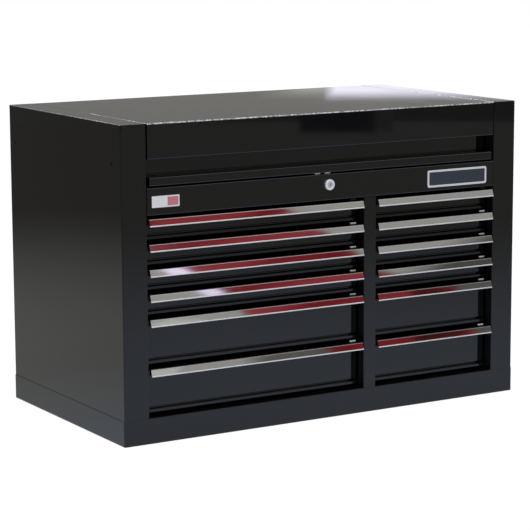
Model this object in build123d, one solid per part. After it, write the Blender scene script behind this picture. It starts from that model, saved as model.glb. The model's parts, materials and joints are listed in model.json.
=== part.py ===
"""Steel top chest with a lift-up lid over a till and two banks of six drawers.

Millimetres, +Z up, -Y to the front, origin at the middle of the base on the floor.
"""
import math
import os
from dataclasses import dataclass

from build123d import *

# Case: sheet-steel columns, back, base and the divider between the banks
case_width = 1041.0
case_depth = 563.0
case_height = 696.0
case_sheet = 1.5
case_bend = 1.5
top_round = 1.2
column_width = 60.5
column_return = 40.0
column_slot = 10.0
side_hole_radius = 2.75
side_hole_drop = 85.5
side_hole_front_inset = 43.0
side_hole_rear_inset = 33.0
base_height = 56.5
base_proud = 1.2
base_return = 25.0
base_corner_radius = 4.5
base_edge_radius = 1.2
back_flange = 20.0
divider_width = 33.0
left_bank_width = 556.0

# Lid, with the finger groove folded across its front
lid_gap = 2.5
skirt_height = 78.0
groove_height = 38.0
groove_depth = 36.0
lid_lip_height = 19.0
lid_lip_hem = 12.0
lid_lip_inset = 4.5
parting_gap = 3.0

# Continuous hinge along the rear top edge
hinge_drop = 25.0
hinge_parting = 1.0
knuckle_radius = 3.25
knuckle_count = 13
knuckle_gap = 0.6
hinge_pin_radius = 1.6
hinge_pin_play = 0.05
hinge_leaf_sheet = 1.2
hinge_leaf_height = 20.0
hinge_inset = 8.0

# Till pan: fascia, floor and rear upstand folded from one sheet
fascia_height = 60.0
fascia_return = 20.0
fascia_hem = 12.0
till_play = 0.3
till_upstand = 48.0
corner_relief = 2.5

# Lid hooks that drop into the fascia
hook_width = 13.0
hook_spacing = 27.0
hook_offset = -14.0
hook_sheet = 1.5
hook_bend = 1.0
hook_setback = 8.5
hook_foot = 5.0
hook_length = 12.0
hook_slot_play = 1.5
hook_slot_front = 3.5

# Lock in the fascia, with its cam and the bar that runs down the divider
lock_drop = 24.0
lock_bezel_radius = 12.3
lock_bezel_reach = 6.5
lock_bezel_round = 1.8
lock_barrel_radius = 9.5
lock_barrel_length = 22.0
lock_hole_play = 0.1
lock_plug_radius = 7.0
lock_plug_play = 0.05
lock_plug_recess = 0.8
keyway_width = 1.8
keyway_height = 8.0
keyway_depth = 12.0
cam_sheet = 3.0
cam_length = 20.0
cam_width = 11.0
lock_bar_sheet = 3.0
lock_bar_width = 17.0
lock_bar_gap = 0.4
lock_bar_drop = 10.0
lock_bar_floor_gap = 8.0
lock_bar_overlap = 10.0
lock_bar_foot_gap = 14.0
lock_bar_notch = 5.0
lock_bar_notch_height = 14.0

# Drawers: rows are the same in both banks, in units of one shallow drawer
row_unit_shares = (1, 1, 1, 1, 2, 2)
first_row_drop = 8.7
last_row_loss = 3.2
drawer_gap = 7.2
base_gap = 5.0
tray_sheet = 1.2
tray_bend = 1.0
tray_rear_gap = 20.0
front_gap = 4.0
hem_setback = 4.0
hem_height = 11.0
face_setback = 28.0
seam_height = 3.5
seam_depth = 5.0
front_lip_reach = 3.0
front_lip_height = 8.8

# Aluminium pull, pushed up over the hem of the drawer's top flange
pull_height = 16.5
pull_rise = 1.5
pull_top_reach = 1.6
pull_nose_reach = 6.5
pull_wall = 1.6
pull_bend = 0.5
pull_bead_radius = 1.9
pull_clip_play = 0.1
pull_clip_leg = 6.0

# Three-member telescopic slides
slide_space = 14.0
slide_sheet = 1.2
slide_play = 0.4
slide_tip_gap = 1.5
slide_height = 35.0
slide_front_gap = 22.0
slide_rear_gap = 30.0

# Finger latch at the right end of each drawer's flange
latch_length = 14.5
latch_inset = 10.0
latch_setback = 15.0
latch_pivot_drop = 7.0
latch_rise = 5.6
latch_thickness = 3.0
latch_reach = 8.0
latch_rake = 1.2
latch_hub_radius = 3.0
latch_pin_radius = 1.5
latch_pin_play = 0.05
latch_end_play = 0.3
latch_ear_radius = 4.5
latch_slot_front = 3.0
latch_slot_rear = 5.0

# Gas struts between the case and the lid, beside the till's ends
strut_lid_forward = 68.0
strut_lid_drop = 16.0
strut_case_forward = 34.0
strut_case_drop = 150.0
strut_inset = 20.0
strut_radius = 9.0
strut_rod_radius = 4.0
strut_rod_play = 0.05
strut_eye_radius = 8.0
strut_eye_width = 6.0
strut_eye_gap = 0.4
strut_neck = 11.0
strut_neck_radius = 2.6
strut_body_length = 92.0
strut_bore_end = 16.0
strut_rod_overlap = 62.0
strut_pin_radius = 4.0
strut_stud_radius = 5.0
strut_pin_tail = 1.0

overrun = 2.0

# Levels and places worked out from the sizes above
front = -case_depth / 2
back = case_depth / 2
clear_half = case_width / 2 - column_width
lid_half = clear_half - lid_gap
skirt_bottom = case_height - skirt_height
lid_lip_top = skirt_bottom - groove_height
lid_lip_bottom = lid_lip_top - lid_lip_height
fascia_top = lid_lip_bottom - parting_gap
fascia_bottom = fascia_top - fascia_height
back_inner = back - case_sheet
hinge_y = back + knuckle_radius
hinge_z = case_height - hinge_drop
lock_z = fascia_top - lock_drop
divider_left = left_bank_width - clear_half
divider_right = divider_left + divider_width
first_flange = fascia_bottom - first_row_drop
row_unit = (first_flange - base_height + last_row_loss) / sum(row_unit_shares)
tray_rear = back_inner - tray_rear_gap
slide_front = front + face_setback + tray_sheet + slide_front_gap
slide_rear = back_inner - slide_rear_gap
strut_x = clear_half - strut_inset
hook_places = (hook_offset - hook_spacing / 2, hook_offset + hook_spacing / 2)


@dataclass
class Bank:
    """One stack of drawers, between the two walls that carry its slides."""

    name: str
    left: float
    right: float


@dataclass
class Row:
    """One drawer level: the top of its front flange and the underside of its floor."""

    number: int
    flange_top: float
    floor_bottom: float

    @property
    def wall_top(self):
        return self.flange_top - tray_sheet

    @property
    def slide_z(self):
        return (self.wall_top + self.floor_bottom) / 2


def make_rows():
    """Rows from the top down; each floor clears the flange or the base below it."""
    tops = [first_flange - row_unit * sum(row_unit_shares[:i]) for i in range(len(row_unit_shares))]
    floors = [top + drawer_gap for top in tops[1:]] + [base_height + base_gap]
    return [Row(i + 1, top, floor) for i, (top, floor) in enumerate(zip(tops, floors))]


banks = (
    Bank("left", -clear_half, divider_left),
    Bank("right", divider_right, clear_half),
)
rows = make_rows()


def behind(distance):
    """Y of a place this far behind the front of the case."""
    return front + distance


def beside(points, distance):
    """The same path moved to its right by distance, with mitred corners."""
    path = [Vector(*point) for point in points]
    steps = [(after - before).normalized() for before, after in zip(path, path[1:])]
    rights = [Vector(step.Y, -step.X) for step in steps]
    moved = []
    for point, before, after in zip(path, rights[:1] + rights, rights + rights[-1:]):
        moved.append(point + (before + after) * (distance / (1 + before.dot(after))))
    return moved


def folded(points, sheet, bend):
    """Outline of a sheet folded along points, lying on the right of the path."""
    path = [Vector(*point) for point in points]
    steps = [after - before for before, after in zip(path, path[1:])]
    turns = [before.cross(after).Z for before, after in zip(steps, steps[1:])]
    path_radii = [bend if turn > 0 else bend + sheet for turn in turns]
    other_radii = [bend + sheet if turn > 0 else bend for turn in turns]
    other = beside(points, sheet)
    lines = [
        FilletPolyline(*path, radius=path_radii),
        FilletPolyline(*other, radius=other_radii),
        Line(path[0], other[0]),
        Line(path[-1], other[-1]),
    ]
    return make_face([edge for line in lines for edge in line.edges()])


def outline(*points):
    """Plain closed outline."""
    return make_face(Polyline(*points, close=True).edges())


def along_x(face, start, end):
    """Prism of a side-view outline (Y, Z) between two places along X."""
    return extrude(Plane.YZ.offset(start) * face, amount=end - start)


def along_y(face, start, end):
    """Prism of a front-view outline (X, Z) between two places along Y."""
    return extrude(Plane.XZ.offset(-end) * face, amount=end - start)


def along_z(face, start, end):
    """Prism of a plan outline (X, Y) between two heights."""
    return extrude(Plane.XY.offset(start) * face, amount=end - start)


def block(x0, x1, y0, y1, z0, z1):
    """Box between two corners."""
    return Pos((x0 + x1) / 2, (y0 + y1) / 2, (z0 + z1) / 2) * Box(x1 - x0, y1 - y0, z1 - z0)


def rod_x(x0, x1, y, z, radius):
    """Round bar along X."""
    return Pos((x0 + x1) / 2, y, z) * Rot(0, 90, 0) * Cylinder(radius, x1 - x0)


def rod_y(y0, y1, x, z, radius):
    """Round bar along Y."""
    return Pos(x, (y0 + y1) / 2, z) * Rot(90, 0, 0) * Cylinder(radius, y1 - y0)


def channel(wall, inward, depth, middle, height):
    """C-section of a slide member, its web on a wall and its flanges pointing inward."""
    tip = wall + inward * depth
    low = middle - height / 2
    high = middle + height / 2
    points = [(tip, low), (wall, low), (wall, high), (tip, high)][::inward]
    section = outline(*points, *reversed(beside(points, slide_sheet)))
    return along_y(section, slide_front, slide_rear)


def side_column():
    """Left hollow side wall: one folded sheet, a welded cap and the strut's pivot pin."""
    outer = -case_width / 2
    inner = -clear_half
    points = [
        (inner, behind(column_return)),
        (inner, front),
        (outer, front),
        (outer, back),
        (inner, back),
        (inner, behind(column_return + column_slot)),
    ]
    cap_bottom = case_height - case_sheet
    column = along_z(folded(points, case_sheet, case_bend), base_height, cap_bottom)
    cap = block(outer, inner, front, back, cap_bottom, case_height)
    cap = fillet(cap.edges().filter_by(Axis.Z), case_bend + case_sheet)
    column += fillet(cap.faces().sort_by(Axis.Z)[-1].edges(), top_round)
    hole_z = case_height - side_hole_drop
    for hole_y in (front + side_hole_front_inset, back - side_hole_rear_inset):
        column -= rod_x(outer - overrun, outer + case_sheet + overrun, hole_y, hole_z, side_hole_radius)
    pin_y = hinge_y - strut_case_forward
    pin_z = case_height - strut_case_drop
    shoulder = -strut_x - strut_eye_width / 2 - strut_eye_gap
    pin_end = -strut_x + strut_eye_width / 2 + strut_pin_tail
    column += rod_x(inner, shoulder, pin_y, pin_z, strut_eye_radius)
    column += rod_x(inner, pin_end, pin_y, pin_z, strut_pin_radius)
    return column


def base_pan():
    """Inverted pan that the case stands on, with a return flange on the floor."""
    half_x = case_width / 2 + base_proud
    half_y = case_depth / 2 + base_proud
    pan = block(-half_x, half_x, -half_y, half_y, 0, base_height)
    pan = fillet(pan.edges().filter_by(Axis.Z), base_corner_radius)
    pan = fillet(pan.faces().sort_by(Axis.Z)[-1].edges(), base_edge_radius)
    in_x = half_x - case_sheet
    in_y = half_y - case_sheet
    pan -= block(-in_x, in_x, -in_y, in_y, case_sheet, base_height - case_sheet)
    mouth_x = half_x - base_return
    mouth_y = half_y - base_return
    pan -= block(-mouth_x, mouth_x, -mouth_y, mouth_y, -overrun, case_sheet + overrun)
    return pan


def back_panel():
    """Back sheet with flanges against the columns, up to the parting line of the lid."""
    points = [
        (clear_half, back - back_flange),
        (clear_half, back),
        (-clear_half, back),
        (-clear_half, back - back_flange),
    ]
    return along_z(folded(points[::-1], case_sheet, case_bend), base_height, hinge_z - hinge_parting)


def centre_divider():
    """Hollow divider between the two banks, open at the back."""
    points = [
        (divider_left, back_inner),
        (divider_left, front),
        (divider_right, front),
        (divider_right, back_inner),
    ]
    return along_z(folded(points[::-1], case_sheet, case_bend), base_height, fascia_bottom)


def till_pan():
    """Fascia, till floor and rear upstand, pierced for the lock, the lock bar and the hooks."""
    half = clear_half - till_play
    points = [
        (behind(fascia_return), fascia_top - fascia_hem),
        (behind(fascia_return), fascia_top),
        (front, fascia_top),
        (front, fascia_bottom),
        (back_inner, fascia_bottom),
        (back_inner, fascia_bottom + till_upstand),
    ]
    pan = along_x(folded(points[::-1], case_sheet, case_bend), -half, half)
    flange_face = clear_half - case_sheet - case_bend - till_play
    relief_front = back - back_flange - corner_relief
    relief_top = fascia_bottom + till_upstand + overrun
    for side in (-1, 1):
        near, far = sorted((side * flange_face, side * (half + overrun)))
        pan -= block(near, far, relief_front, back, fascia_bottom - overrun, relief_top)
    hole = lock_barrel_radius + lock_hole_play
    pan -= rod_y(front - overrun, front + case_sheet + overrun, 0, lock_z, hole)
    left, right, near, far = lock_bar_plan()
    pan -= block(
        left - lock_bar_gap, right + lock_bar_gap, near - lock_bar_gap, far + lock_bar_gap,
        fascia_bottom - overrun, fascia_bottom + case_sheet + overrun,
    )
    half_slot = hook_width / 2 + hook_slot_play
    slot_rear = behind(hook_setback + hook_sheet + hook_slot_play)
    for place in hook_places:
        pan -= block(
            place - half_slot, place + half_slot, behind(hook_slot_front), slot_rear,
            fascia_top - case_sheet - overrun, fascia_top + overrun,
        )
    return pan


def lock_housing():
    """Chromed lock body: a rounded bezel on the fascia and a barrel through it."""
    bezel = rod_y(front - lock_bezel_reach, front, 0, lock_z, lock_bezel_radius)
    bezel = fillet(bezel.edges().sort_by(Axis.Y)[:1], lock_bezel_round)
    barrel = rod_y(front, behind(lock_barrel_length), 0, lock_z, lock_barrel_radius)
    bore = lock_plug_radius + lock_plug_play
    return bezel + barrel - rod_y(
        front - lock_bezel_reach - overrun, behind(lock_barrel_length) + overrun, 0, lock_z, bore
    )


def lock_plug():
    """Key plug with its keyway, and the cam on its inner end."""
    face = front - lock_bezel_reach + lock_plug_recess
    end = behind(lock_barrel_length + lock_bar_gap)
    plug = rod_y(face, end, 0, lock_z, lock_plug_radius)
    plug -= block(
        -keyway_width / 2, keyway_width / 2, face - overrun, face + keyway_depth,
        lock_z - keyway_height / 2, lock_z + keyway_height / 2,
    )
    half = cam_width / 2
    arm = block(0, cam_length, end, end + cam_sheet, lock_z - half, lock_z + half)
    arm += rod_y(end, end + cam_sheet, 0, lock_z, lock_plug_radius)
    arm += rod_y(end, end + cam_sheet, cam_length, lock_z, half)
    return plug + arm


def lock_bar_plan():
    """Edges of the lock bar's leg in plan: left, right, near and far."""
    middle = (divider_left + divider_right) / 2
    near = behind(lock_barrel_length + lock_bar_gap + cam_sheet + lock_bar_gap)
    return middle - lock_bar_width / 2, middle + lock_bar_width / 2, near, near + lock_bar_sheet


def lock_bar():
    """Flat bar: an arm behind the lock and a notched leg down the inside of the divider."""
    left, right, near, far = lock_bar_plan()
    arm_top = lock_z - lock_bar_drop
    arm_bottom = fascia_bottom + case_sheet + lock_bar_floor_gap
    points = [
        (-lock_bar_overlap, arm_top),
        (right, arm_top),
        (right, base_height + lock_bar_foot_gap),
        (left, base_height + lock_bar_foot_gap),
        (left, arm_bottom),
        (-lock_bar_overlap, arm_bottom),
    ]
    bar = along_y(outline(*points), near, far)
    for row in rows:
        low = row.slide_z - lock_bar_notch_height / 2
        bar -= block(
            right - lock_bar_notch, right + overrun, near - overrun, far + overrun,
            low, low + lock_bar_notch_height,
        )
    return bar


def knuckle(index, leaf_edge):
    """One rolled knuckle of the hinge, with the tab that joins it to its leaf."""
    pitch = 2 * (lid_half - hinge_inset) / knuckle_count
    start = hinge_inset - lid_half + pitch * index + knuckle_gap / 2
    end = start + pitch - knuckle_gap
    low, high = sorted((hinge_z, leaf_edge))
    body = rod_x(start, end, hinge_y, hinge_z, knuckle_radius)
    body += block(start, end, back, back + hinge_leaf_sheet, low, high)
    bore = hinge_pin_radius + hinge_pin_play
    return body - rod_x(start - overrun, end + overrun, hinge_y, hinge_z, bore)


def hinge_leaf(side, first):
    """Leaf with every second knuckle; side is 1 for the lid's leaf and -1 for the case's."""
    half = lid_half - hinge_inset
    edge = hinge_z + side * (knuckle_radius + hinge_parting)
    low, high = sorted((edge, edge + side * (hinge_leaf_height - knuckle_radius)))
    leaf = block(-half, half, back, back + hinge_leaf_sheet, low, high)
    for index in range(first, knuckle_count, 2):
        leaf += knuckle(index, edge)
    return leaf


def hinge_pin():
    """Pin through all the knuckles."""
    half = lid_half - hinge_inset
    return rod_x(-half, half, hinge_y, hinge_z, hinge_pin_radius)


def lid():
    """Lid folded from one sheet, with tapered ends, lip ends and the studs of the struts."""
    rear_bottom = hinge_z + hinge_parting
    points = [
        (behind(lid_lip_hem), lid_lip_bottom),
        (front, lid_lip_bottom),
        (front, lid_lip_top),
        (behind(groove_depth), lid_lip_top),
        (behind(groove_depth), skirt_bottom),
        (front, skirt_bottom),
        (front, case_height),
        (back, case_height),
        (back, rear_bottom),
    ]
    body = along_x(folded(points, case_sheet, case_bend), -lid_half, lid_half)
    inner_front = front + case_sheet
    inner_top = case_height - case_sheet
    groove_rear = behind(groove_depth) + case_sheet
    end_plate = outline(
        (inner_front, inner_top),
        (back_inner, inner_top),
        (back_inner, rear_bottom),
        (groove_rear, skirt_bottom + case_sheet),
        (inner_front, skirt_bottom + case_sheet),
    )
    lip_plate = outline(
        (inner_front, lid_lip_top - case_sheet),
        (behind(groove_depth), lid_lip_top - case_sheet),
        (behind(groove_depth), lid_lip_bottom),
        (behind(lid_lip_hem), lid_lip_bottom),
        (behind(lid_lip_hem), lid_lip_bottom + case_sheet),
        (inner_front, lid_lip_bottom + case_sheet),
    )
    lip_half = lid_half - lid_lip_inset
    stud_y = hinge_y - strut_lid_forward
    stud_z = case_height - strut_lid_drop
    stud_end = strut_x + strut_eye_width / 2 + strut_eye_gap
    for side in (-1, 1):
        near, far = sorted((side * lip_half, side * (lid_half + overrun)))
        body -= block(
            near, far, front - overrun, groove_rear, lid_lip_bottom - overrun, lid_lip_top + overrun
        )
        body += along_x(end_plate, *sorted((side * (lid_half - case_sheet), side * lid_half)))
        body += along_x(lip_plate, *sorted((side * (lip_half - case_sheet), side * lip_half)))
        near, far = sorted((side * stud_end, side * (lid_half - case_sheet)))
        body += rod_x(near, far, stud_y, stud_z, strut_stud_radius)
    return body


def lid_hooks():
    """Two bent hooks under the lid's lip, each dropping through a slot in the fascia."""
    leg_rear = hook_setback + hook_sheet
    points = [
        (behind(hook_setback - hook_foot), lid_lip_bottom),
        (behind(leg_rear), lid_lip_bottom),
        (behind(leg_rear), lid_lip_bottom - hook_length),
    ]
    profile = folded(points, hook_sheet, hook_bend)
    half = hook_width / 2
    return [along_x(profile, place - half, place + half) for place in hook_places]


def strut_axis():
    """Case pivot of the struts, their length at rest and the turn of a Z bar onto them."""
    start = Vector(0, hinge_y - strut_case_forward, case_height - strut_case_drop)
    end = Vector(0, hinge_y - strut_lid_forward, case_height - strut_lid_drop)
    run = end - start
    return start, run.length, math.degrees(math.atan2(-run.Y, run.Z))


def strut_bar(x, near, far, radius):
    """Round bar on a strut's axis, between two distances from the case pivot."""
    start, _, turn = strut_axis()
    bar = Pos(0, 0, (near + far) / 2) * Cylinder(radius, far - near)
    return Pos(x, start.Y, start.Z) * Rot(turn, 0, 0) * bar


def strut_eye(x, distance):
    """Flat round eye on a strut's axis, without its bore."""
    start, _, turn = strut_axis()
    eye = Pos(0, 0, distance) * Rot(0, 90, 0) * Cylinder(strut_eye_radius, strut_eye_width)
    return Pos(x, start.Y, start.Z) * Rot(turn, 0, 0) * eye


def strut_cylinder(x):
    """Cylinder of a strut, hung on the case pin by its eye and bored for the rod."""
    start, _, _ = strut_axis()
    top = strut_neck + strut_body_length
    body = strut_eye(x, 0) + strut_bar(x, 0, strut_neck + strut_neck_radius, strut_neck_radius)
    body += strut_bar(x, strut_neck, top, strut_radius)
    body -= strut_bar(x, strut_neck + strut_bore_end, top + overrun, strut_rod_radius + strut_rod_play)
    half = strut_eye_width / 2 + overrun
    bore = strut_pin_radius + strut_rod_play
    return body - rod_x(x - half, x + half, start.Y, start.Z, bore)


def strut_rod(x):
    """Rod of a strut, with the eye that meets the lid's stud."""
    _, length, _ = strut_axis()
    start = strut_neck + strut_body_length - strut_rod_overlap
    rod = strut_bar(x, start, length - strut_neck, strut_rod_radius)
    rod += strut_bar(x, length - strut_neck - strut_neck_radius, length, strut_neck_radius)
    return rod + strut_eye(x, length)


def latch_span(bank):
    """Left and right ends of a latch."""
    right = bank.right - front_gap - latch_inset
    return right - latch_length, right


def drawer_tray(bank, row):
    """Drawer folded from one sheet: hem, flange, face, seam, ledge, lip and floor, with its sides."""
    face_rear = behind(face_setback + tray_sheet)
    seam_rear = face_rear + seam_depth
    lip_rear = behind(face_setback - front_lip_reach + tray_sheet)
    floor_top = row.floor_bottom + tray_sheet
    ledge = row.floor_bottom + front_lip_height - tray_sheet
    seam_top = ledge + seam_height + 2 * tray_sheet
    front_points = [
        (behind(hem_setback), row.flange_top - hem_height),
        (behind(hem_setback), row.flange_top),
        (face_rear, row.flange_top),
        (face_rear, seam_top),
        (seam_rear, seam_top),
        (seam_rear, ledge),
        (lip_rear, ledge),
        (lip_rear, floor_top),
        (face_rear, floor_top),
    ]
    body_points = [
        (behind(face_setback), floor_top),
        (tray_rear - tray_sheet, floor_top),
        (tray_rear - tray_sheet, row.wall_top),
    ]
    body_left = bank.left + slide_space
    body_right = bank.right - slide_space
    tray = along_x(folded(front_points, tray_sheet, tray_bend), bank.left + front_gap, bank.right - front_gap)
    tray += along_x(folded(body_points, tray_sheet, tray_bend), body_left, body_right)
    for near, far in ((body_left, body_left + tray_sheet), (body_right - tray_sheet, body_right)):
        side = block(near, far, behind(face_setback), tray_rear, row.floor_bottom, row.wall_top)
        tray += side - block(
            near - overrun, far + overrun, behind(face_setback) - overrun, seam_rear - tray_sheet,
            ledge + tray_sheet, seam_top - tray_sheet,
        )
    latch_left, latch_right = latch_span(bank)
    pivot_y = behind(latch_setback)
    pivot_z = row.flange_top - latch_pivot_drop
    tray -= block(
        latch_left - latch_end_play, latch_right + latch_end_play,
        pivot_y - latch_slot_front, pivot_y + latch_slot_rear,
        row.wall_top - overrun, row.flange_top + overrun,
    )
    hole = latch_pin_radius + latch_pin_play
    for near in (latch_left - latch_end_play - tray_sheet, latch_right + latch_end_play):
        far = near + tray_sheet
        tray += rod_x(near, far, pivot_y, pivot_z, latch_ear_radius)
        tray += block(
            near, far, pivot_y - latch_ear_radius, pivot_y + latch_ear_radius, pivot_z, row.wall_top
        )
        tray -= rod_x(near - overrun, far + overrun, pivot_y, pivot_z, hole)
    return tray


def drawer_rails(bank, row):
    """Inner slide members, welded to the drawer's sides and open towards the case."""
    depth = slide_space - 2 * (slide_sheet + slide_play)
    height = slide_height - 4 * (slide_sheet + slide_play)
    return [
        channel(bank.left + slide_space, -1, depth, row.slide_z, height),
        channel(bank.right - slide_space, 1, depth, row.slide_z, height),
    ]


def slide_carriages(bank, row):
    """Middle slide members, nested between the case channels and the drawer's rails."""
    stand_off = slide_sheet + slide_play
    depth = slide_space - 2 * stand_off
    height = slide_height - 2 * stand_off
    return [
        channel(bank.left + stand_off, 1, depth, row.slide_z, height),
        channel(bank.right - stand_off, -1, depth, row.slide_z, height),
    ]


def case_channels(bank, row):
    """Outer slide members, fixed to the walls of a bank."""
    depth = slide_space - slide_tip_gap
    return [
        channel(bank.left, 1, depth, row.slide_z, slide_height),
        channel(bank.right, -1, depth, row.slide_z, slide_height),
    ]


def drawer_pull(bank, row):
    """Extruded pull: a raked front with a beaded nose, and a clip round the flange's hem."""
    top = row.flange_top + pull_rise
    hem_rear = behind(hem_setback + tray_sheet + pull_clip_play)
    hem_bottom = row.flange_top - hem_height - pull_bend - pull_clip_play
    nose = (behind(-pull_nose_reach), top - pull_height + pull_bead_radius)
    points = [
        nose,
        (behind(-pull_top_reach), top),
        (behind(hem_setback), top),
        (behind(hem_setback), hem_bottom),
        (hem_rear, hem_bottom),
        (hem_rear, hem_bottom + pull_clip_leg),
    ]
    left = bank.left + front_gap
    right = bank.right - front_gap
    pull = along_x(folded(points, pull_wall, pull_bend), left, right)
    return pull + rod_x(left, right, nose[0] + pull_bead_radius, nose[1], pull_bead_radius)


def drawer_latch(bank, row):
    """Finger latch: a tab through the flange, a paddle behind the pull and its pivot pins."""
    left, right = latch_span(bank)
    pivot_y = behind(latch_setback)
    pivot_z = row.flange_top - latch_pivot_drop
    half = latch_thickness / 2
    profile = outline(
        (pivot_y - half, pivot_z),
        (pivot_y - half, row.flange_top + latch_rise),
        (pivot_y + half, row.flange_top + latch_rise),
        (pivot_y + half, pivot_z),
        (pivot_y + half - latch_rake, pivot_z - latch_reach),
        (pivot_y - half - latch_rake, pivot_z - latch_reach),
    )
    latch = along_x(profile, left, right) + rod_x(left, right, pivot_y, pivot_z, latch_hub_radius)
    reach = latch_end_play + tray_sheet
    return latch + rod_x(left - reach, right + reach, pivot_y, pivot_z, latch_pin_radius)


def write(name, *solids):
    """One STEP file for a node; pieces that share a node stay separate solids."""
    shape = solids[0] if len(solids) == 1 else Compound(children=list(solids))
    export_step(shape, f"parts/{name}.step")


def main():
    """Build every node of the chest."""
    os.makedirs("parts", exist_ok=True)
    column = side_column()
    write("side_columns", column, mirror(column, about=Plane.YZ))
    write("base_pan", base_pan())
    write("back_panel", back_panel(), hinge_leaf(-1, 0), hinge_pin())
    write("centre_divider", centre_divider())
    write("till_pan", till_pan())
    write("lid", lid(), hinge_leaf(1, 1), *lid_hooks())
    write("lock_housing", lock_housing())
    write("lock_plug", lock_plug())
    write("lock_bar", lock_bar())
    write("gas_strut_cylinders", *(strut_cylinder(x) for x in (-strut_x, strut_x)))
    write("gas_strut_rods", *(strut_rod(x) for x in (-strut_x, strut_x)))
    channels = []
    for bank in banks:
        for row in rows:
            name = f"{bank.name}_{row.number}"
            channels += case_channels(bank, row)
            write(f"drawer_tray_{name}", drawer_tray(bank, row), *drawer_rails(bank, row))
            write(f"drawer_pull_{name}", drawer_pull(bank, row))
            write(f"drawer_latch_{name}", drawer_latch(bank, row))
            write(f"slide_carriages_{name}", *slide_carriages(bank, row))
    write("case_slide_channels", *channels)


main()
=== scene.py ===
"""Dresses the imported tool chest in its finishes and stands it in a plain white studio.

Metres, in the chest's own frame: X to the right, -Y to the front, +Z up from the floor.
"""
import json
import logging
import math
from dataclasses import dataclass, field
from enum import Enum
from typing import Iterable, Optional, Union

import bpy
from mathutils import Matrix, Vector

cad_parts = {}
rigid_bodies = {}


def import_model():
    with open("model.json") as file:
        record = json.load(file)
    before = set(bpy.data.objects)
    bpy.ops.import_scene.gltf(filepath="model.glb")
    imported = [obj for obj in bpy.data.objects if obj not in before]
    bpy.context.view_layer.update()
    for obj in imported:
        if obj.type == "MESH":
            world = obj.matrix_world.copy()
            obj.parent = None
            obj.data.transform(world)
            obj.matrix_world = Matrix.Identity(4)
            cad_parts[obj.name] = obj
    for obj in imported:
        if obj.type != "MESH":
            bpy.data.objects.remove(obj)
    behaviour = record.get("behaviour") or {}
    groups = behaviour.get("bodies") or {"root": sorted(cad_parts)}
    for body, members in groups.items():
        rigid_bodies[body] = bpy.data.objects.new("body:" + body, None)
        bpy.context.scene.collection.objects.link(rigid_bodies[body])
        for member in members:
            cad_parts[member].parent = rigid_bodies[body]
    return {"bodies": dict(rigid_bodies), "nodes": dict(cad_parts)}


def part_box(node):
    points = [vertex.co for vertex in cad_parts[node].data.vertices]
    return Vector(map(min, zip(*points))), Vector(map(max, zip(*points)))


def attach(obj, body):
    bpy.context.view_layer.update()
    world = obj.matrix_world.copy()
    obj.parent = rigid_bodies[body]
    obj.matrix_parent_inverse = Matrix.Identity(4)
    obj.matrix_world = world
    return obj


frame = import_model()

Tree = bpy.types.NodeTree
Socket = bpy.types.NodeSocket
Loop = list[Vector]
Value = Union[float, tuple, Socket]

LOG = logging.getLogger("tool_chest")
MM = 0.001
QUARTER_TURN = math.radians(90)
WHITE = "#ffffff"
# Noise lies mostly between these values
NOISE_SPAN = (0.3, 0.7)
# A face looks along an axis where its normal has more than the first on it, and only towards the
# axis where it has more than the second
ALONG_AXIS = 0.9
TOWARDS_AXIS = 0.5
# A fold's faces have less than the first on every axis, and less than the second along the fold
FOLD_LIMIT = 0.995
FOLD_END_LIMIT = 0.1
# Material number of the second finish on a node
SECOND_FINISH = 1
# Directions of the cards that the pulls, the top and the lid's front mirror
PULLS_BEARING = math.radians(146.9)
TOP_BEARING = math.radians(36.9)
LID_BEARING = math.radians(148.5)


class Axis(Enum):
    """The axes that folds run along."""

    X = 0
    Y = 1


class Bank(Enum):
    """The two stacks of drawers."""

    LEFT = "left"
    RIGHT = "right"


def clear_leftovers() -> None:
    """Removes whatever the empty file held before the frame came in."""
    kept = {*frame["nodes"].values(), *frame["bodies"].values()}
    for thing in [each for each in bpy.data.objects if each not in kept]:
        bpy.data.objects.remove(thing)


clear_leftovers()
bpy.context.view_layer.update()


def linear(colour: str) -> tuple[float, float, float, float]:
    """Turns an sRGB hex colour to linear light.

    Args:
        colour: The colour as #rrggbb.

    Returns:
        Red, green, blue and a full alpha.
    """
    parts = [int(colour[i:i + 2], 16) / 255 for i in (1, 3, 5)]
    light = [c / 12.92 if c <= 0.04045 else ((c + 0.055) / 1.055) ** 2.4 for c in parts]
    return (*light, 1.0)


def empty_tree(owner: Union[bpy.types.Material, bpy.types.World]) -> Tree:
    """Gives the node tree of a material or a world, switched on and empty.

    Args:
        owner: The material or the world.

    Returns:
        Its tree.
    """
    owner.use_nodes = True
    owner.node_tree.nodes.clear()
    return owner.node_tree


def add_node(
    tree: Tree,
    kind: str,
    inputs: Optional[dict[Union[str, int], Value]] = None,
    **settings: object,
) -> bpy.types.Node:
    """Adds one node with its settings, values and links.

    Args:
        tree: The tree that the node goes into.
        kind: The node's class.
        inputs: A value, or a socket to link from, for each named input.
        **settings: The node's own properties.

    Returns:
        The new node.
    """
    node = tree.nodes.new(kind)
    for name, value in settings.items():
        setattr(node, name, value)
    for name, value in (inputs or {}).items():
        if isinstance(value, Socket):
            tree.links.new(value, node.inputs[name])
        else:
            node.inputs[name].default_value = value
    return node


@dataclass(frozen=True)
class Finish:
    """A surface finish, which makes its node material once."""

    name: str

    def material(self) -> bpy.types.Material:
        """Gives the finish's material.

        Returns:
            The material, made at the first call.
        """
        made = bpy.data.materials.get(self.name)
        if made is None:
            made = bpy.data.materials.new(self.name)
            tree = empty_tree(made)
            surface = self.shader(tree).outputs[0]
            add_node(tree, "ShaderNodeOutputMaterial", {"Surface": surface})
        return made

    def shader(self, tree: Tree) -> bpy.types.Node:
        """Builds the finish's shader in a material's tree."""
        raise NotImplementedError


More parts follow.
